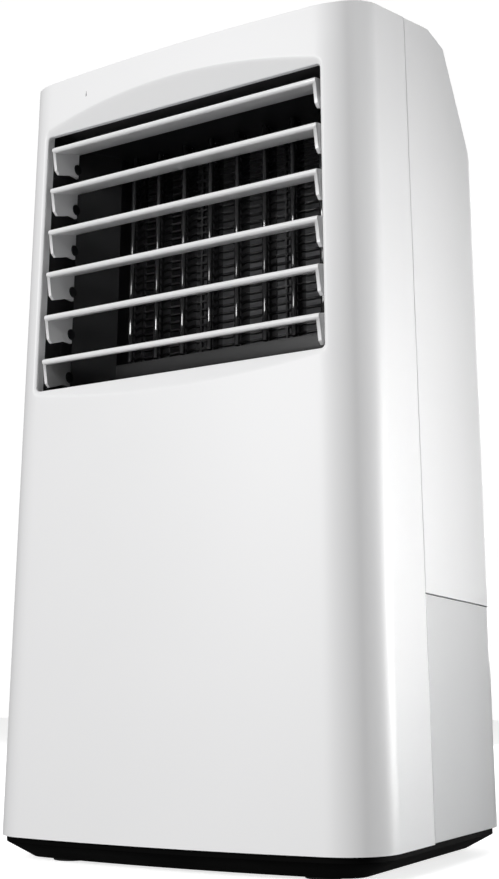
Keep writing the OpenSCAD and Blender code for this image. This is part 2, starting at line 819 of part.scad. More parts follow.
hub_r = 11;
module fan_wheel() {
  color(dark) {
    difference() {
      union() {
        rod_y(0, wheel_y0, wheel_y0 + 2, fan_z, wheel_r);
        rod_y(0, wheel_y0, wheel_y0 + 26, fan_z, hub_r);
      }
      rod_y(0, wheel_y0 - 1, wheel_y0 + 27, fan_z, shaft_r);
    }
    difference() {
      rod_y(0, wheel_y0 + wheel_d - 3, wheel_y0 + wheel_d, fan_z, wheel_r);
      rod_y(0, wheel_y0 + wheel_d - 4, wheel_y0 + wheel_d + 1, fan_z, wheel_r - 14);
    }
    for (i = [0:wheel_blades - 1])
      translate([0, 0, fan_z]) rotate([0, i*360/wheel_blades, 0])
        translate([wheel_r - 13, wheel_y0 + 1, 0]) rotate([0, -32, 0])
          cube([13.5, wheel_d - 2, 1.4]);
  }
}

module fan_nut() {
  color(metal) difference() {
    translate([0, wheel_y0 + 26, fan_z]) rotate([-90, 0, 0]) cylinder(r = 8, h = 6, $fn = 6);
    rod_y(0, wheel_y0 + 25, wheel_y0 + 33, fan_z, shaft_r);
  }
}

module motor_shaft() {
  color(metal) rod_y(0, motor_y0 - 8, wheel_y0 + 34, fan_z, shaft_r);
}

bush_r = 8;
module motor_body() {
  color(metal) difference() {
    union() {
      rod_y(0, motor_y0 + 8, motor_y1 - 8, fan_z, motor_r);
      rod_y(0, motor_y0, motor_y1, fan_z, motor_r - 6);
    }
    rod_y(0, motor_y0 - 1, motor_y1 + 1, fan_z, shaft_r + 1);
    rod_y(0, motor_y0 - 1, motor_y0 + 7, fan_z, bush_r);
    rod_y(0, motor_y1 - 7, motor_y1 + 1, fan_z, bush_r);
  }
}

module motor_bushes() {
  color("peru") for (y = [motor_y0, motor_y1 - 7]) difference() {
    rod_y(0, y, y + 7, fan_z, bush_r);
    rod_y(0, y - 1, y + 8, fan_z, shaft_r + shaft_gap);
  }
}

module motor_bracket() {
  color(grey) difference() {
    union() {
      rod_y(0, motor_y1, motor_y1 + bracket_t, fan_z, bracket_r);
      motor_holes(motor_y1, scroll_y0, 5);
    }
    rod_y(0, motor_y1 - 1, motor_y1 + bracket_t + 1, fan_z, shaft_r + 8);
    motor_holes(motor_y1 - 1, scroll_y0 + 1, 2);
  }
}

module motor_screws() {
  color(metal) {
    motor_holes(motor_y1 - 12, scroll_y0 + scroll_t, 1.9);
    for (a = [45:90:315])
      translate([(motor_r + 3)*cos(a), motor_y1 - 3, fan_z + (motor_r + 3)*sin(a)]) rotate([-90, 0, 0])
        cylinder(r = 3.6, h = 3);
  }
}

module motor_capacitor() {
  color(white) {
    translate([30, bay_y - bay_t - 18, base_h + 96]) cube([40, 18, 28]);
    translate([50, bay_y - bay_t - 9, base_h + 124 - eps]) cylinder(r = 3, h = 6);
  }
}

// ---- cooling ----

// Room that the latch, its boss and the lower screw posts keep, however far down the panel comes
module latch_and_screw_room(g) {
  rod_y(0, rear_y(latch_z) - latch_boss_l, back_y + 5, latch_z, latch_boss_r + g);
  block([-latch_len/2 - g, rear_y(latch_z) - panel_t, latch_z - latch_wid/2 - g],
        [latch_len/2 + g, back_y + 5, latch_z + latch_wid/2 + g]);
  for (x = [-screw_x, screw_x])
    rod_y(x, scroll_y1, back_y + 5, screw_low, screw_post_r + g);
}

module intake_panel() {
  n = floor((panel_h - 40)/panel_pitch);
  color(white) lean_frame() {
    difference() {
      block([-panel_hw, -panel_t, panel_z0], [panel_hw, 0, panel_z1]);
      block([-panel_hw + 12, -panel_t - 1, panel_z0 + 12], [panel_hw - 12, 1, panel_z1 - 28]);
      // finger pull
      block([-30, -panel_t + 2, panel_z1 - 22], [30, 1, panel_z1 - 7]);
      from_lean_frame() latch_and_screw_room(panel_gap);
    }
    for (i = [0:n])
      block([-panel_hw + 12 - eps, -panel_t, panel_z0 + 12 + i*panel_pitch],
            [panel_hw - 12 + eps, -0.6, panel_z0 + 15 + i*panel_pitch]);
    for (x = [-60, 0, 60])
      block([x - 1.5, -panel_t, panel_z0 + 12 - eps], [x + 1.5, -1.2, panel_z1 - 28 + eps]);
    // side rails that carry the filter and the pad frame
    for (s = [-1, 1])
      block([s > 0 ? panel_hw - 4 : -panel_hw + 1, cassette_y1, panel_z0 + cassette_in],
            [s > 0 ? panel_hw - 1 : -panel_hw + 4, -panel_t + eps, panel_z1 - cassette_in]);
  }
}

module dust_filter() {
  color(grey) lean_frame() difference() {
    block([-panel_hw + 4.3, filter_y, panel_z0 + 8], [panel_hw - 4.3, filter_y + 4, panel_z1 - 8]);
    for (x = [-1, 0, 1], z = [0:3])
      block([x*70 - 32, filter_y + 1.5, panel_z0 + 14 + z*(panel_h - 24)/4],
            [x*70 + 32, filter_y + 5, panel_z0 + 8 + (z + 1)*(panel_h - 24)/4]);
  }
}

module pad_frame() {
  color(dark) lean_frame() difference() {
    block([-cassette_hw, cassette_y0, panel_z0 + cassette_in],
          [cassette_hw, cassette_y1, panel_z1 - cassette_in]);
    from_lean_frame() latch_and_screw_room(panel_gap);
    block([-cassette_hw + pad_border, cassette_y0 + 2, panel_z0 + cassette_in + pad_border],
          [cassette_hw - pad_border, cassette_y1 - 2, panel_z1 - cassette_in - pad_border]);
    for (x = [-1, 1], z = [0:2])
      block([x > 0 ? 3 : -cassette_hw + pad_border + 4, cassette_y0 - 1,
             panel_z0 + cassette_in + pad_border + 4 + z*(panel_h - 26)/3],
            [x > 0 ? cassette_hw - pad_border - 4 : -3, cassette_y1 + 1,
             panel_z0 + cassette_in + pad_border - 4 + (z + 1)*(panel_h - 26)/3]);
    // slots that let water in from above and out below
    block([-cassette_hw + 20, cassette_y0 + 6, panel_z0 + cassette_in - 1],
          [cassette_hw - 20, cassette_y1 - 6, panel_z1 - cassette_in + 1]);
  }
}

module cooling_pad() {
  g = 0.3;
  color(brown) lean_frame()
    block([-cassette_hw + pad_border + g, cassette_y0 + 2 + g, panel_z0 + cassette_in + pad_border + g],
          [cassette_hw - pad_border - g, cassette_y1 - 2 - g, panel_z1 - cassette_in - pad_border - g]);
}

tray_holes = 14;
module drip_tray() {
  color(grey) difference() {
    block([-tray_hw, tray_y0, tray_z0], [tray_hw, tray_y1, tray_z0 + tray_h]);
    block([-tray_hw + tray_t, tray_y0 + tray_t, tray_z0 + tray_t],
          [tray_hw - tray_t, tray_y1 - tray_t, tray_z0 + tray_h + 1]);
    for (i = [0:tray_holes - 1])
      translate([(i - (tray_holes - 1)/2)*14, hose_y, tray_z0 - 1]) cylinder(r = 1.5, h = tray_t + 2);
    rod_x(-tray_hw - 1, -tray_hw + tray_t + 1, hose_y, hose_top, hose_r);
  }
}

module water_hose() {
  coupler_z = deck_z1 + 12;
  color([0.85, 0.88, 0.9]) {
    difference() {
      union() {
        translate([hose_x, hose_y, coupler_z])
          cylinder(r = hose_r, h = hose_top - hose_bend - coupler_z);
        translate([hose_x + hose_bend, hose_y, hose_top - hose_bend]) rotate([90, 0, 0])
          rotate([0, 0, 90]) rotate_extrude(angle = 90) translate([hose_bend, 0]) circle(hose_r);
        rod_x(hose_x + hose_bend, -tray_hw + tray_t, hose_y, hose_top, hose_r);
      }
      translate([hose_x, hose_y, coupler_z - 1]) cylinder(r = hose_r - 1.5, h = 80);
    }
  }
}

module hose_coupler() {
  color(dark) difference() {
    union() {
      translate([hose_x, hose_y, deck_z1]) cylinder(r = hose_r + 3.5, h = 3);
      translate([hose_x, hose_y, deck_z0]) cylinder(r = hose_r + 1, h = deck_t + 12);
    }
    translate([hose_x, hose_y, deck_z0 - 1]) cylinder(r = hose_r - 1.5, h = deck_t + 14);
    translate([hose_x, hose_y, deck_z1 + 12]) cylinder(r = hose_r + 2, h = 6);
  }
}

// ---- tank and base ----

module tank_form(w, z0) {
  intersection() {
    form(w, z0, tank_top + (w > 0 ? 1 : 0));
    behind(seam_y + seam_gap + w);
  }
}
grip_w = 90;
grip_h = 26;
grip_z = tank_top - 38;
grip_depth = 16;
module water_tank() {
  color(white) {
    difference() {
      union() {
        difference() {
          tank_form(0, tank_z0);
          tank_form(tank_t, tank_z0 + tank_t);
        }
        // box of the finger pull
        intersection() {
          tank_form(0, tank_z0);
          block([-grip_w/2 - tank_t, rear_y(grip_z) - grip_depth - tank_t, grip_z - tank_t],
                [grip_w/2 + tank_t, far, grip_z + grip_h + tank_t]);
        }
        // ear that carries the float
        block([float_x - 3, float_y - 4, tank_z0 + tank_t - eps], [float_x + 3, float_y + 4, float_z + 5]);
      }
      block([-grip_w/2, rear_y(grip_z) - grip_depth, grip_z], [grip_w/2, far, grip_z + grip_h]);
      rod_x(float_x - 4, float_x + 4, float_y, float_z, 2);
    }
  }
}

module float_arm() {
  color("gold") {
    rod_x(float_x - 8, float_x + 8, float_y, float_z, 1.65);
    for (s = [-1, 1])
      block([float_x + s*6 - 1.5, float_y - 34, float_z - 3], [float_x + s*6 + 1.5, float_y + 3, float_z + 3]);
    translate([float_x, float_y - 40, float_z - 12]) cylinder(r = 14, h = 24);
  }
}

module pump_body() {
  color(dark) difference() {
    union() {
      block([pump_x - pump_w/2, pump_y - pump_l/2, pump_z0],
            [pump_x + pump_w/2, pump_y + pump_l/2, pump_z0 + pump_h]);
      translate([hose_x, hose_y, pump_z0 + 4]) cylinder(r = 7, h = pump_h + 4);
    }
    translate([pump_x, pump_y, pump_z0 - 1]) cylinder(r = 14, h = 9);
    translate([hose_x, hose_y, pump_z0 + pump_h]) cylinder(r = 5, h = 9);
  }
}
module pump_impeller() {
  color(grey) translate([pump_x, pump_y, pump_z0 + 1.5]) {
    difference() {
      cylinder(r = 11.5, h = 1.5);
      translate([0, 0, -1]) cylinder(r = 1.2, h = 4);
    }
    for (a = [0:60:300]) rotate([0, 0, a]) translate([3, -0.7, 1.4]) cube([8.4, 1.4, 3.6]);
  }
}
module pump_riser() {
  color([0.85, 0.88, 0.9]) difference() {
    translate([hose_x, hose_y, pump_z0 + pump_h + 0.2])
      cylinder(r = 4.8, h = tank_top - pump_z0 - pump_h - 0.2);
    translate([hose_x, hose_y, pump_z0 + pump_h - 1]) cylinder(r = 3.2, h = tank_top);
  }
}

module tank_latch() {
  y = rear_y(latch_z) + 1;
  color(dark) {
    block([-latch_len/2, y, latch_z - latch_wid/2], [latch_len/2, y + latch_t, latch_z + latch_wid/2]);
    rod_y(0, y - 10, y + eps, latch_z, latch_r);
    block([-2, y + latch_t - eps, latch_z - 5], [2, y + latch_t + 2.4, latch_z + 5]);
  }
}

module chassis() {
  inner = wall + 0.3;
  color(grey) difference() {
    union() {
      intersection() {
        form(inner, base_h, deck_z0 + 1);
        block([-far/2, bay_y - bay_t, base_h], [far/2, bay_y, deck_z1]);
      }
      intersection() {
        form(inner, deck_z0, deck_z1);
        behind(bay_y - bay_t);
      }
      for (x = [-100, 0, 100])
        block([x - 1.5, bay_y - bay_t - 12, base_h], [x + 1.5, bay_y - bay_t + eps, deck_z1]);
    }
    translate([hose_x, hose_y, deck_z0 - 1]) cylinder(r = hose_r + 1.2, h = deck_t + 2);
    // drain slots under the pad
    for (x = [-2:2])
      block([x*40 - 14, tray_y0 + 4, deck_z0 - 1], [x*40 + 14, tray_y0 + 12, deck_z1 + 1]);
  }
}

module base() {
  color(black) difference() {
    hull() {
      translate([0, 0, base_h - 4]) linear_extrude(4) footprint(3);
      translate([0, 0, foot_h]) linear_extrude(0.5) footprint(base_taper);
    }
    for (x = [-1, 1], y = [-1, 1])
      translate([x*foot_x, y*foot_y + foot_y0, foot_h - 1]) cylinder(r = foot_r + 0.3, h = 3);
  }
}
foot_r = 12;
foot_x = body_w/2 - 50;
foot_y = body_d/2 - 48;
foot_y0 = -4;
module rubber_feet() {
  color([0.1, 0.1, 0.1]) for (x = [-1, 1], y = [-1, 1])
    translate([x*foot_x, y*foot_y + foot_y0, 0]) cylinder(r = foot_r, h = foot_h + 2);
}

module power_board() {
  y1 = bay_y - bay_t;
  color("darkgreen") {
    block([-86, y1 - 8, base_h + 50], [-14, y1 - 6.4, base_h + 140]);
    for (x = [-80, -20], z = [base_h + 56, base_h + 134])
      rod_y(x, y1 - 6.4 - eps, y1, z, 3);
    block([-70, y1 - 34, base_h + 62], [-40, y1 - 8 + eps, base_h + 90]);
    rod_y(-50, y1 - 28, y1 - 8 + eps, base_h + 115, 8);
  }
}

module shell_screws() {
  color(metal) for (x = [-screw_x, screw_x], z = [screw_up, screw_low]) {
    rod_y(x, rear_y(z) - 26, rear_y(z) - 6 + eps, z, 1.9);
    rod_y(x, rear_y(z) - 6, rear_y(z) - 3.4, z, 3.4);
  }
}

front_shell();
rear_shell();
top_cover();
control_panel();
display_window();
for (i = [0:4])
  button(i);
receiver_window();
outlet_duct();
guard_grille();
for (i = [0:louvre_n - 1])
  louvre(i);
louvre_tie_bar();
for (i = [0:vane_n - 1])
  vane(i);
vane_tie_bar();
swing_motor();
scroll_front();
scroll_rear();
fan_wheel();
fan_nut();
motor_body();
motor_shaft();
motor_bushes();
motor_bracket();
motor_screws();
motor_capacitor();
intake_panel();
dust_filter();
pad_frame();
cooling_pad();
drip_tray();
water_hose();
hose_coupler();
water_tank();
float_arm();
pump_body();
pump_impeller();
pump_riser();
tank_latch();
chassis();
base();
rubber_feet();
control_board();
power_board();
cord_gland();
shell_screws();
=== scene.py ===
import math

import bmesh
import bpy
import numpy as np
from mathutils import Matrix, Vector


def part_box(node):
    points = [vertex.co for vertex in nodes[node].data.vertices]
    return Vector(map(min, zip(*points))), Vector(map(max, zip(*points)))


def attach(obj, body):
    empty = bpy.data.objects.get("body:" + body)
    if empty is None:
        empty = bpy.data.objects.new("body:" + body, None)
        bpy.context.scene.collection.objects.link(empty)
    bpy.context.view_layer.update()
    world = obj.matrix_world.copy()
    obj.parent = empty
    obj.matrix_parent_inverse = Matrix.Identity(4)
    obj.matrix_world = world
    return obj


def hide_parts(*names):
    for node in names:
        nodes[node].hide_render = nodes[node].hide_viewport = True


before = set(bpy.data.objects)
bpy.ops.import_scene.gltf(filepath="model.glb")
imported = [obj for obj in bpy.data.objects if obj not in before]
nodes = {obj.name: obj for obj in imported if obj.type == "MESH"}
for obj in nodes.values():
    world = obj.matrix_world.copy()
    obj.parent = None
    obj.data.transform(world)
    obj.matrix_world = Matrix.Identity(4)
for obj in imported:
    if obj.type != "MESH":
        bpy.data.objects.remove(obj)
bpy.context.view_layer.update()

MM = 0.001

# ---- Camera, floor and studio light ----
# The air conditioner stands on a pale seamless floor. The camera is low, right of the middle,
# and looks up at it; soft panels in front, beside, above and behind, and a pale room, light it.
camera_data = bpy.data.cameras.new("camera")
camera_data.lens = 49.39
camera_data.sensor_width = 36
camera_data.shift_y = -0.0734
camera_data.clip_start = 0.01
camera = bpy.data.objects.new("camera", camera_data)
camera.location = (0.4351, -0.7961, 0.0990)
camera.rotation_euler = (math.pi/2 + 0.269, 0, 0.507)
bpy.context.scene.collection.objects.link(camera)
bpy.context.scene.camera = camera
bpy.context.scene.view_settings.view_transform = "Standard"

world = bpy.data.worlds.new("studio")
world.use_nodes = True
world.node_tree.nodes["Background"].inputs["Color"].default_value = (1, 1, 1, 1)
world.node_tree.nodes["Background"].inputs["Strength"].default_value = 0.12
bpy.context.scene.world = world


def soft_panel(name, place, aim, width, height, watts, beam=180):
    data = bpy.data.lights.new(name, "AREA")
    data.shape = "RECTANGLE"
    data.size, data.size_y, data.energy, data.spread = width, height, watts, math.radians(beam)
    panel = bpy.data.objects.new(name, data)
    panel.location = place
    away = np.array(aim, float) - np.array(place, float)
    tilt = math.acos(-away[2]/np.linalg.norm(away))
    panel.rotation_euler = (tilt, 0, math.atan2(away[1], away[0]) - math.pi/2)
    bpy.context.scene.collection.objects.link(panel)
    return panel


soft_panel("key_panel", (-0.42, -2.7, 0.85), (0, -0.13, 0.36), 1.1, 1.5, 44)
soft_panel("side_panel", (1.35, 1.15, 0.25), (0.145, -0.15, 0.2), 0.12, 1.0, 1.5, beam=26)
soft_panel("low_strip", (0, -2.1, 1.005), (0, -0.1, 0.37), 1.6, 0.12, 8)
soft_panel("high_strip", (0, -2.1, 1.36), (0, -0.1, 0.47), 1.6, 0.06, 5)
soft_panel("top_fill", (0, 0.2, 2.4), (0, 0, 0.6), 1.5, 1.5, 14)
soft_panel("back_fill", (-0.3, 2.4, 0.9), (0, 0.1, 0.35), 1.4, 1.4, 22)


def new_material(name):
    material = bpy.data.materials.new(name)
    material.use_nodes = True
    tree = material.node_tree
    return material, tree, tree.nodes["Principled BSDF"]


def surface_coordinates(tree, scale=(1, 1, 1)):
    coords = tree.nodes.new("ShaderNodeTexCoord")
    mapping = tree.nodes.new("ShaderNodeMapping")
    mapping.inputs["Scale"].default_value = scale
    tree.links.new(coords.outputs["Object"], mapping.inputs["Vector"])
    return mapping.outputs["Vector"]


def noise(tree, vector, scale, detail=3):
    node = tree.nodes.new("ShaderNodeTexNoise")
    node.inputs["Scale"].default_value = scale
    node.inputs["Detail"].default_value = detail
    tree.links.new(vector, node.inputs["Vector"])
    return node.outputs["Fac"]


def spread(tree, value, low, high):
    node = tree.nodes.new("ShaderNodeMapRange")
    node.inputs["From Min"].default_value = 0.3
    node.inputs["From Max"].default_value = 0.7
    node.inputs["To Min"].default_value = low
    node.inputs["To Max"].default_value = high
    tree.links.new(value, node.inputs["Value"])
    return node.outputs["Result"]


def two_tone(tree, shader, value, dark, light):
    ramp = tree.nodes.new("ShaderNodeValToRGB")
    ramp.color_ramp.elements[0].position = 0.3
    ramp.color_ramp.elements[1].position = 0.7
    ramp.color_ramp.elements[0].color = (*dark, 1)
    ramp.color_ramp.elements[1].color = (*light, 1)
    tree.links.new(value, ramp.inputs["Fac"])
    tree.links.new(ramp.outputs["Color"], shader.inputs["Base Color"])


def raised(tree, shader, value, strength, depth):
    bump = tree.nodes.new("ShaderNodeBump")
    bump.inputs["Strength"].default_value = strength
    bump.inputs["Distance"].default_value = depth
    tree.links.new(value, bump.inputs["Height"])
    tree.links.new(bump.outputs["Normal"], shader.inputs["Normal"])


def moulded_plastic(name, colour, roughness, grain=0.15, coat=0.0, tone=0.02, sheen=0.1):
    """Injection-moulded plastic: a fine spark-eroded grain and faint flow clouds in its sheen."""
    material, tree, shader = new_material(name)
    where = surface_coordinates(tree)
    clouds = noise(tree, where, 14)
    two_tone(tree, shader, clouds, [c*(1 - tone) for c in colour], [min(1, c*(1 + tone)) for c in colour])
    gloss = spread(tree, clouds, roughness*(1 - sheen), roughness*(1 + 1.2*sheen))
    tree.links.new(gloss, shader.inputs["Roughness"])
    raised(tree, shader, noise(tree, where, 2200, 2), grain, 0.00004)
    shader.inputs["Coat Weight"].default_value = coat
    shader.inputs["Coat Roughness"].default_value = 0.06
    return material


floor_paper, paper_tree, paper_shader = new_material("floor_paper")
paper_clouds = noise(paper_tree, surface_coordinates(paper_tree), 3)
two_tone(paper_tree, paper_shader, paper_clouds, (0.93, 0.93, 0.93), (0.95, 0.95, 0.95))
paper_shader.inputs["Roughness"].default_value = 0.9
floor_mesh = bpy.data.meshes.new("studio_floor")
floor_mesh.from_pydata([(-9, -9, 0), (9, -9, 0), (9, 9, 0), (-9, 9, 0)], [], [(0, 1, 2, 3)])
floor_mesh.materials.append(floor_paper)
studio_floor = bpy.data.objects.new("studio_floor", floor_mesh)
bpy.context.scene.collection.objects.link(studio_floor)
paper_shader.inputs["Emission Color"].default_value = (1, 1, 1, 1)
paper_shader.inputs["Emission Strength"].default_value = 0.75
studio_floor.visible_diffuse = studio_floor.visible_glossy = False

backdrop_paper, _, backdrop_shader = new_material("backdrop_paper")
backdrop_shader.inputs["Base Color"].default_value = (0, 0, 0, 1)
backdrop_shader.inputs["Roughness"].default_value = 1.0
backdrop_shader.inputs["Emission Color"].default_value = (1, 1, 1, 1)
backdrop_shader.inputs["Emission Strength"].default_value = 1.02
dome = bmesh.new()
bmesh.ops.create_uvsphere(dome, u_segments=48, v_segments=24, radius=12)
dome_mesh = bpy.data.meshes.new("studio_backdrop")
dome.to_mesh(dome_mesh)
dome.free()
dome_mesh.materials.append(backdrop_paper)
studio_backdrop = bpy.data.objects.new("studio_backdrop", dome_mesh)
bpy.context.scene.collection.objects.link(studio_backdrop)
studio_backdrop.visible_diffuse = studio_backdrop.visible_glossy = False
studio_backdrop.visible_transmission = studio_backdrop.visible_shadow = False

# ---- Front shell ----
# One satin white moulding: a front that bulges 6.5 mm, round corners and side walls as far as the
# seams. A soft bevel runs into the outlet, with a lip behind it that hides the louvres' ends.
shell_white = moulded_plastic("shell_white", (0.88, 0.88, 0.885), 0.46, grain=0.12, tone=0.004, sheen=0.02)
wall = 2.6
half_width = 145.0
front_edge = -127.5
bulge = 6.5
corner_radius = 38.0
corner_x = half_width - corner_radius
bulge_radius = (corner_x**2 + bulge**2)/(2*bulge)
bulge_centre = front_edge - bulge + bulge_radius
corner_bite = 0.08
corner_y = bulge_centre - math.sqrt((bulge_radius - corner_radius)**2 - corner_x**2) - corner_bite
touch_x = corner_x*bulge_radius/(bulge_radius - corner_radius)
seam_y = front_edge + 93.5
shell_foot = 16.0
top_front = 570.0
top_rise = 50/146
mouth_y = front_edge + 3.6
mouth_half, mouth_low, mouth_high = 117.0, 322.0, 526.0
bevel_run = mouth_y - (front_edge - bulge)
bevel_side, bevel_up, bevel_down = 15.0, 17.0, 14.0
rim_low, rim_high, rim_relief, rim_depth = 314.0, 532.0, 0.3, 5.4


def front_surface(x):
    x = np.abs(np.asarray(x, float))
    middle = bulge_centre - np.sqrt(bulge_radius**2 - np.minimum(x, touch_x)**2)
    corner = corner_y - np.sqrt(np.maximum(corner_radius**2 - np.maximum(x - corner_x, 0)**2, 0))
    return np.where(x <= touch_x, middle, corner)


def new_piece(name, verts, faces, body, material):
    mesh = bpy.data.meshes.new(name)
    mesh.from_pydata([tuple(float(c)*MM for c in v) for v in verts], [], faces)
    mesh.materials.append(material)
    mesh.shade_smooth()
    piece = bpy.data.objects.new(name, mesh)
    bpy.context.scene.collection.objects.link(piece)
    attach(piece, body)
    return piece


patch_x, patch_low, patch_high = 130.0, 292.0, 553.0
arc_far = math.acos((patch_x - corner_x)/corner_radius)
arc_near = math.acos((touch_x - corner_x)/corner_radius)
side_plan = [(half_width, y) for y in np.linspace(seam_y, corner_y, 5)]
side_plan += [(corner_x + corner_radius*math.cos(a), corner_y - corner_radius*math.sin(a))
              for a in np.linspace(0, arc_far, 11)[1:-1]]
patch_columns = [corner_x + corner_radius*math.cos(a) for a in np.linspace(arc_far, arc_near, 7)[:-1]]
patch_columns += list(np.linspace(touch_x, -touch_x, 33))
patch_columns += [-x for x in patch_columns[5::-1]]
plan = side_plan + [(x, float(front_surface(x))) for x in patch_columns]
plan += [(-x, y) for x, y in side_plan[::-1]]
first_column, last_column = len(side_plan), len(side_plan) + len(patch_columns) - 1
low_rows = list(np.linspace(shell_foot, patch_low, 8))
patch_rows = list(np.linspace(patch_low, patch_high, 31))
rows_to_patch_top = len(low_rows) - 1 + len(patch_rows)
shell_verts, shell_faces, grid = [], [], {}
for j, (x, y) in enumerate(plan):
    roof = top_front + top_rise*(y - front_edge)
    heights = low_rows[:-1] + patch_rows + [patch_high + (roof - patch_high)*f for f in (0.3, 0.6, 0.85, 1)]
    for k, z in enumerate(heights):
        inside = first_column < j < last_column and len(low_rows) - 1 < k < rows_to_patch_top - 1
        if not inside:
            grid[j, k] = len(shell_verts)
            shell_verts.append((x, y, z))
patch_k0, patch_k1 = len(low_rows) - 1, rows_to_patch_top - 1
for j in range(len(plan) - 1):
    for k in range(rows_to_patch_top + 3):
        if not (first_column <= j < last_column and patch_k0 <= k < patch_k1):
            shell_faces.append((grid[j, k], grid[j, k + 1], grid[j + 1, k + 1], grid[j + 1, k]))

# the loop of the patch, clockwise from its top right corner as seen from the front
loop = [(j, patch_k1) for j in range(first_column, last_column)]
loop += [(last_column, k) for k in range(patch_k1, patch_k0, -1)]
loop += [(j, patch_k0) for j in range(last_column, first_column, -1)]
loop += [(first_column, k) for k in range(patch_k0, patch_k1)]
across, upward = last_column - first_column, patch_k1 - patch_k0
corner_steps = 5


def opening_side(start, end, turn, count):
    """Places along one side of the opening, from the middle of one round corner to the next."""
    straight = count - 2*corner_steps
    for i in range(count):
        if i <= corner_steps:
            yield (*start, turn + 45*i/corner_steps)
        elif i < corner_steps + straight:
            f = (i - corner_steps)/straight
            yield (start[0] + (end[0] - start[0])*f, start[1] + (end[1] - start[1])*f, turn + 45)
        else:
            yield (*end, turn + 45 + 45*(i - corner_steps - straight)/corner_steps)


places = []
for start, end, turn, count in (((1, 1), (-1, 1), 45, across), ((-1, 1), (-1, -1), 135, upward),
                                ((-1, -1), (1, -1), 225, across), ((1, -1), (1, 1), 315, upward)):
    places += list(opening_side(start, end, turn, count))
places = np.array(places)
turn_cos, turn_sin = np.cos(np.radians(places[:, 2])), np.sin(np.radians(places[:, 2]))


def opening_outline(half, low, high, radius):
    x = places[:, 0]*(half - radius) + radius*turn_cos
    z = (low + high)/2 + places[:, 1]*((high - low)/2 - radius) + radius*turn_sin
    return x, z


out = np.full(len(places), 0.3)
for _ in range(12):
    edge_x, edge_z = opening_outline(mouth_half + bevel_side*out, mouth_low - bevel_down*out,
                                     mouth_high + bevel_up*out, 3 + 15*out)
    out = (mouth_y - front_surface(edge_x))/bevel_run
brow = np.stack([edge_x, front_surface(edge_x), edge_z], 1)
inner_x, inner_z = opening_outline(mouth_half, mouth_low, mouth_high, 3)
inner = np.stack([inner_x, np.full_like(inner_x, mouth_y), inner_z], 1)
outer = np.array([shell_verts[grid[place]] for place in loop])


def shortened(run, reach):
    """The runs at a corner, cut to the reach, or to just under half of a run too short for it."""
    length = np.linalg.norm(run, axis=1)
    share = np.minimum(1, 0.45*length/reach)
    return run*share[:, None]*reach/np.maximum(length, 1e-9)[:, None]


def eased_corner(before, corner, after, reach, steps):
    """Points of a soft corner between two straight runs."""
    a = shortened(before - corner, reach)
    b = shortened(after - corner, reach)
    return [corner + a*(1 - f)**2 + b*f**2 for f in np.linspace(0, 1, steps)]


rings = []
for f in (0.25, 0.5, 0.72, 0.88):
    ring = outer + (brow - outer)*f
    ring[:, 1] = front_surface(ring[:, 0])
    rings.append(ring)
rings += eased_corner(rings[-1], brow, inner, 3.2, 6)
lip_back = inner + np.array([0, wall, 0])
rings += eased_corner(brow, inner, lip_back, 0.8, 4)
rings.append(lip_back)
back_x, back_z = opening_outline(mouth_half + rim_relief, rim_low, rim_high, 2)
rings.append(np.stack([back_x, np.full_like(back_x, mouth_y + wall), back_z], 1))
rings.append(rings[-1] + np.array([0, rim_depth, 0]))
previous = [grid[place] for place in loop]
for ring in rings:
    current = list(range(len(shell_verts), len(shell_verts) + len(ring)))
    shell_verts += [tuple(p) for p in ring]
    for i in range(len(loop)):
        n = (i + 1) % len(loop)
        shell_faces.append((previous[i], previous[n], current[n], current[i]))
    previous = current


def settle(piece, sharp=32):
    """Applies the modifiers of a piece and evens out its shading."""
    bpy.context.view_layer.update()
    graph = bpy.context.evaluated_depsgraph_get()
    made = bpy.data.meshes.new_from_object(piece.evaluated_get(graph))
    piece.modifiers.clear()
    piece.data = made
    made.shade_smooth()
    made.set_sharp_from_angle(angle=math.radians(sharp))
    weighted = piece.modifiers.new("even_shading", "WEIGHTED_NORMAL")
    weighted.keep_sharp = True
    return piece


front = new_piece("front_shell_moulding", shell_verts, shell_faces, "housing", shell_white)
thick = front.modifiers.new("wall", "SOLIDIFY")
thick.thickness = wall*MM
thick.offset = -1
rim = front.modifiers.new("rim", "BEVEL")
rim.width = 0.9*MM
rim.segments = 3
rim.limit_method = "ANGLE"
rim.angle_limit = math.radians(50)
settle(front, 40)
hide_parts("front_shell")

# ---- Rear shell, screws and cord gland ----
# The back half of the housing, from the seams to the leaning back wall and up the back slope,
# moulded in the same white. Four screws hold it to the blower; the cord comes in by a black gland.


def eased(node, material, body, width=0.5, segments=2, sharp=32):
    """A copy of a frame part with its moulded edges eased, to show in its place."""
    form = bmesh.new()
    form.from_mesh(nodes[node].data)
    bmesh.ops.remove_doubles(form, verts=form.verts, dist=0.000002)
    bmesh.ops.dissolve_limit(form, angle_limit=math.radians(0.4), verts=form.verts, edges=form.edges)
    crisp = [e for e in form.edges if len(e.link_faces) == 2 and e.calc_face_angle(0) > math.radians(sharp)]
    short = {v for e in crisp if e.calc_length() < 2.4*width*MM for v in e.verts}
    long_enough = [e for e in crisp if not (e.verts[0] in short or e.verts[1] in short)]
    bmesh.ops.bevel(form, geom=long_enough, offset=width*MM, offset_type="OFFSET", segments=segments,
                    profile=0.5, affect="EDGES", clamp_overlap=True)
    mesh = bpy.data.meshes.new(node + "_finished")
    form.to_mesh(mesh)
    form.free()
    mesh.materials.clear()
    mesh.materials.append(material)
    mesh.shade_smooth()
    mesh.set_sharp_from_angle(angle=math.radians(sharp))
    piece = bpy.data.objects.new(node + "_finished", mesh)
    bpy.context.scene.collection.objects.link(piece)
    weighted = piece.modifiers.new("even_shading", "WEIGHTED_NORMAL")
    weighted.keep_sharp = True
    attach(piece, body)
    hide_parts(node)
    return piece


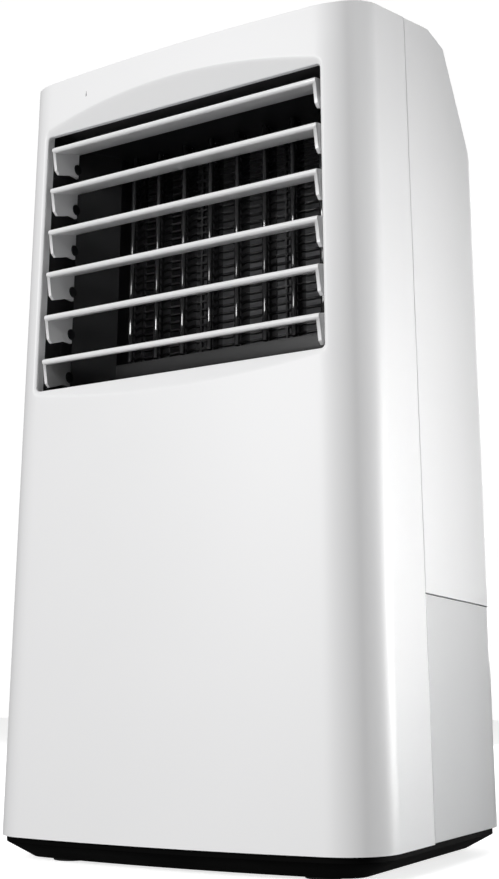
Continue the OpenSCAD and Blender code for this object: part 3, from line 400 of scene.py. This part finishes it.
def finish_node(node, material):
    """Gives a frame part its finish."""
    part = nodes[node]
    if not part.material_slots:
        part.data.materials.append(material)
    for place in part.material_slots:
        place.link = "OBJECT"
        place.material = material


def turned_metal(name, colour, roughness):
    """Plated steel or bronze: fine turning marks, and stains in its sheen."""
    material, tree, shader = new_material(name)
    where = surface_coordinates(tree, (1, 14, 1))
    stains = noise(tree, where, 60)
    two_tone(tree, shader, stains, [c*0.86 for c in colour], colour)
    shader.inputs["Metallic"].default_value = 1.0
    tree.links.new(spread(tree, stains, roughness*0.8, roughness*1.3), shader.inputs["Roughness"])
    raised(tree, shader, noise(tree, where, 900, 2), 0.2, 0.00003)
    return material


plated_steel = turned_metal("plated_steel", (0.6, 0.6, 0.62), 0.32)
gland_black = moulded_plastic("gland_black", (0.04, 0.04, 0.045), 0.5, grain=0.3)
eased("rear_shell", shell_white, "housing", width=0.6)
finish_node("shell_screws", plated_steel)
eased("cord_gland", gland_black, "housing", width=0.4)

# ---- Top cover, control panel and receiver ----
# A white lid set flush into the shells' rim carries a gloss black panel with a smoked display and
# five dished grey keys. A small dark window above the outlet lets the remote control's light in.
panel_black = moulded_plastic("panel_black", (0.01, 0.01, 0.012), 0.09, grain=0.03, coat=0.8)
display_smoke = moulded_plastic("display_smoke", (0.03, 0.032, 0.038), 0.05, grain=0.01, coat=1.0)
key_grey = moulded_plastic("key_grey", (0.5, 0.51, 0.53), 0.38, grain=0.25)
eased("top_cover", shell_white, "housing", width=0.6)
eased("control_panel", panel_black, "housing", width=0.3)
eased("display_window", display_smoke, "housing", width=0.3)
eased("receiver_window", display_smoke, "housing", width=0.3)
for key in ("button_power", "button_speed", "button_swing", "button_cool", "button_timer"):
    eased(key, key_grey, key, width=0.35)

# ---- Outlet duct and guard grille ----
# A satin black moulding funnels the air from the blower to the mouth and holds the louvres on
# pins in its side walls. A grid of thin bars behind the vanes keeps fingers from the wheel.
duct_black = moulded_plastic("duct_black", (0.014, 0.014, 0.015), 0.34, grain=0.35, tone=0.2)
grille_black = moulded_plastic("grille_black", (0.02, 0.02, 0.021), 0.28, grain=0.3, tone=0.2)
eased("outlet_duct", duct_black, "housing", width=0.4)
eased("guard_grille", grille_black, "housing", width=0.3)

# ---- Louvres and their tie bar ----
# Six white blades with a rolled front lip and a hanging plate at each end, whose open clip snaps
# over the duct's pin. One bar at the right joins their cranks, so that they tilt together.
louvre_white = moulded_plastic("louvre_white", (0.84, 0.84, 0.845), 0.28, grain=0.12, coat=0.2,
                               tone=0.004, sheen=0.03)
for i in range(6):
    eased(f"louvre_{i + 1}", louvre_white, f"louvre_{i + 1}", width=0.35)
eased("louvre_tie_bar", louvre_white, "louvre_link", width=0.3)

# ---- Vanes, their tie bar and the swing motor ----
# Eight gloss black vanes stand upright behind the louvres, each with a rolled bead down its front
# edge. A bar under them joins their cranks, and a small geared motor swings the first one.
vane_black = moulded_plastic("vane_black", (0.012, 0.012, 0.013), 0.12, grain=0.04, coat=0.9, tone=0.2)
bead_radius = 2.3
vane_chord, vane_thick = 22.0, 2.4
vane_count, vane_pitch = 8, 23.9
front_y = front_edge + 72.0
bottom, top = 357.5, 530.5
lens = (vane_chord**2/4 + vane_thick**2/4)/vane_thick
for i in range(vane_count):
    name = f"vane_{i + 1}"
    middle_x = (i - (vane_count - 1)/2)*vane_pitch
    section = [(bead_radius*math.sin(a), front_y + bead_radius - bead_radius*math.cos(a))
               for a in np.linspace(-2.35, 2.35, 19)]
    blade = [(lens - vane_thick/2 - math.sqrt(lens**2 - (y - vane_chord/2)**2), front_y + y)
             for y in np.linspace(5.6, vane_chord - 0.2, 9)]
    outline = section + [(abs(x), y) for x, y in blade] + [(-abs(x), y) for x, y in blade[::-1]]
    verts = [(middle_x + x, y, z) for z in (bottom, bottom + 0.8, top - 0.8, top) for x, y in outline]
    n = len(outline)
    faces = [(r*n + a, r*n + (a + 1) % n, (r + 1)*n + (a + 1) % n, (r + 1)*n + a)
             for r in range(3) for a in range(n)]
    faces += [tuple(range(n))[::-1], tuple(range(3*n, 4*n))]
    bead = new_piece(f"vane_bead_{i + 1}", verts, faces, name, vane_black)
    bead.data.set_sharp_from_angle(angle=math.radians(50))
    eased(name, vane_black, name, width=0.25)
eased("vane_tie_bar", vane_black, "vane_link", width=0.3)
finish_node("swing_motor", plated_steel)

# ---- Blower: scroll, wheel and motor ----
# A two-part grey scroll holds a 28-blade centrifugal wheel on the shaft of an open-frame motor,
# which hangs from a pressed bracket in front. A run capacitor sits beside the wiring.
inner_grey = moulded_plastic("inner_grey", (0.2, 0.2, 0.21), 0.48, grain=0.35, tone=0.08)
wheel_grey = moulded_plastic("wheel_grey", (0.16, 0.17, 0.19), 0.4, grain=0.3, tone=0.08)
sintered_bronze = turned_metal("sintered_bronze", (0.6, 0.42, 0.22), 0.45)
capacitor_white = moulded_plastic("capacitor_white", (0.78, 0.78, 0.76), 0.5, grain=0.2)
for node in ("scroll_front", "scroll_rear", "motor_bracket"):
    finish_node(node, inner_grey)
finish_node("fan_wheel", wheel_grey)
for node in ("fan_nut", "motor_body", "motor_shaft", "motor_screws"):
    finish_node(node, plated_steel)
finish_node("motor_bushes", sintered_bronze)
finish_node("motor_capacitor", capacitor_white)

# ---- Intake panel, dust filter, pad frame and cooling pad ----
# A white barred panel unclips from the back with a woven dust filter and a frame behind it. The
# frame holds a block of fluted brown paper, which water runs down and the air is drawn through.


def woven_mesh(name):
    material, tree, shader = new_material(name)
    where = surface_coordinates(tree)
    threads = []
    for direction in ("X", "Z"):
        wave = tree.nodes.new("ShaderNodeTexWave")
        wave.bands_direction = direction
        wave.inputs["Scale"].default_value = 260
        tree.links.new(where, wave.inputs["Vector"])
        threads.append(wave.outputs["Fac"])
    crossing = tree.nodes.new("ShaderNodeMath")
    crossing.operation = "MAXIMUM"
    tree.links.new(threads[0], crossing.inputs[0])
    tree.links.new(threads[1], crossing.inputs[1])
    two_tone(tree, shader, crossing.outputs["Value"], (0.05, 0.05, 0.055), (0.4, 0.41, 0.43))
    shader.inputs["Roughness"].default_value = 0.75
    raised(tree, shader, crossing.outputs["Value"], 0.6, 0.0003)
    return material


def fluted_paper(name):
    material, tree, shader = new_material(name)
    where = surface_coordinates(tree)
    fibres = noise(tree, where, 220, 5)
    two_tone(tree, shader, fibres, (0.27, 0.17, 0.08), (0.48, 0.34, 0.19))
    shader.inputs["Roughness"].default_value = 0.9
    raised(tree, shader, fibres, 0.5, 0.0002)
    return material


filter_weave = woven_mesh("filter_weave")
pad_brown = fluted_paper("pad_brown")
eased("intake_panel", shell_white, "intake", width=0.4)
finish_node("dust_filter", filter_weave)
finish_node("pad_frame", inner_grey)
pad_low, pad_high = (np.array(c)/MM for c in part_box("cooling_pad"))
lean = math.atan(15/508)
flute, swing, sheets = 9.0, 2.6, 28
pad_verts, pad_faces = [], []
pad_depth = pad_high[1] - pad_low[1] - (pad_high[2] - pad_low[2])*math.tan(lean)
steps = int((pad_high[2] - pad_low[2])/1.5)
for s in range(sheets):
    x0 = pad_low[0] + 3.2 + s*(pad_high[0] - pad_low[0] - 6.4)/(sheets - 1)
    for side in (-0.25, 0.25):
        for k in range(steps + 1):
            z = pad_low[2] + (pad_high[2] - pad_low[2])*k/steps
            x = x0 + side + swing*math.sin(2*math.pi*(z/flute + 0.5*(s % 2)))
            y = pad_low[1] + (z - pad_low[2])*math.tan(lean)
            pad_verts += [(x, y + 0.2, z), (x, y + pad_depth - 0.2, z)]
    base_index = s*4*(steps + 1)
    back = 2*(steps + 1)
    for k in range(steps):
        a, b, c, d = (base_index + 2*k + o for o in (0, 1, 3, 2))
        pad_faces += [(a, b, c, d), (a + back, d + back, c + back, b + back),
                      (a, d, d + back, a + back), (b, b + back, c + back, c)]
    for k, flip in ((0, False), (steps, True)):
        a, b = base_index + 2*k, base_index + 2*k + 1
        cap = (a, a + back, b + back, b)
        pad_faces.append(cap[::-1] if flip else cap)
fluted_pad = new_piece("fluted_pad", pad_verts, pad_faces, "intake", pad_brown)
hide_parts("cooling_pad")

# ---- Tank, pump, float, hose and drip tray ----
# The white tank pulls out at the back, with its pump and riser. The float in it shows how full it
# is; a milky hose takes the water up to the tray above the pad.
tank_white = moulded_plastic("tank_white", (0.87, 0.875, 0.88), 0.3, grain=0.12, coat=0.25,
                             tone=0.004, sheen=0.02)
hose_milky = moulded_plastic("hose_milky", (0.7, 0.72, 0.72), 0.35, grain=0.1)
hose_milky.node_tree.nodes["Principled BSDF"].inputs["Transmission Weight"].default_value = 0.3
pump_black = moulded_plastic("pump_black", (0.04, 0.04, 0.045), 0.45, grain=0.3)
float_yellow = moulded_plastic("float_yellow", (0.8, 0.62, 0.15), 0.45, grain=0.25)
eased("water_tank", tank_white, "tank", width=0.6)
eased("tank_latch", pump_black, "latch", width=0.5)
eased("pump_body", pump_black, "tank", width=0.5)
finish_node("pump_impeller", pump_black)
finish_node("hose_coupler", pump_black)
finish_node("pump_riser", hose_milky)
finish_node("water_hose", hose_milky)
eased("float_arm", float_yellow, "float", width=0.5)
finish_node("drip_tray", inner_grey)

# ---- Chassis, base and feet ----
# A grey deck and wall carry everything; below, a satin black dish tapers in towards the floor and
# stands on four pressed-in rubber feet.
base_black = moulded_plastic("base_black", (0.002, 0.002, 0.002), 0.7, grain=0.3, tone=0.2)
base_black.node_tree.nodes["Principled BSDF"].inputs["Specular IOR Level"].default_value = 0.04
foot_rubber = moulded_plastic("foot_rubber", (0.03, 0.03, 0.03), 0.8, grain=0.6, tone=0.1)
finish_node("chassis", inner_grey)
eased("base", base_black, "housing", width=0.5, sharp=40)
eased("rubber_feet", foot_rubber, "housing", width=0.3)

# ---- Circuit boards ----
# Green glass-fibre boards: the display and keys' board under the lid, and the power board on the
# wall of the tank bay.


def circuit_board(name):
    material, tree, shader = new_material(name)
    where = surface_coordinates(tree)
    tracks = tree.nodes.new("ShaderNodeTexBrick")
    tracks.inputs["Scale"].default_value = 160
    tracks.inputs["Mortar Size"].default_value = 0.03
    tracks.inputs["Color1"].default_value = (0.02, 0.16, 0.06, 1)
    tracks.inputs["Color2"].default_value = (0.03, 0.2, 0.08, 1)
    tracks.inputs["Mortar"].default_value = (0.06, 0.3, 0.13, 1)
    tree.links.new(where, tracks.inputs["Vector"])
    tree.links.new(tracks.outputs["Color"], shader.inputs["Base Color"])
    shader.inputs["Roughness"].default_value = 0.35
    raised(tree, shader, tracks.outputs["Fac"], 0.3, 0.0001)
    return material


board_green = circuit_board("board_green")
for node in ("control_board", "power_board"):
    finish_node(node, board_green)
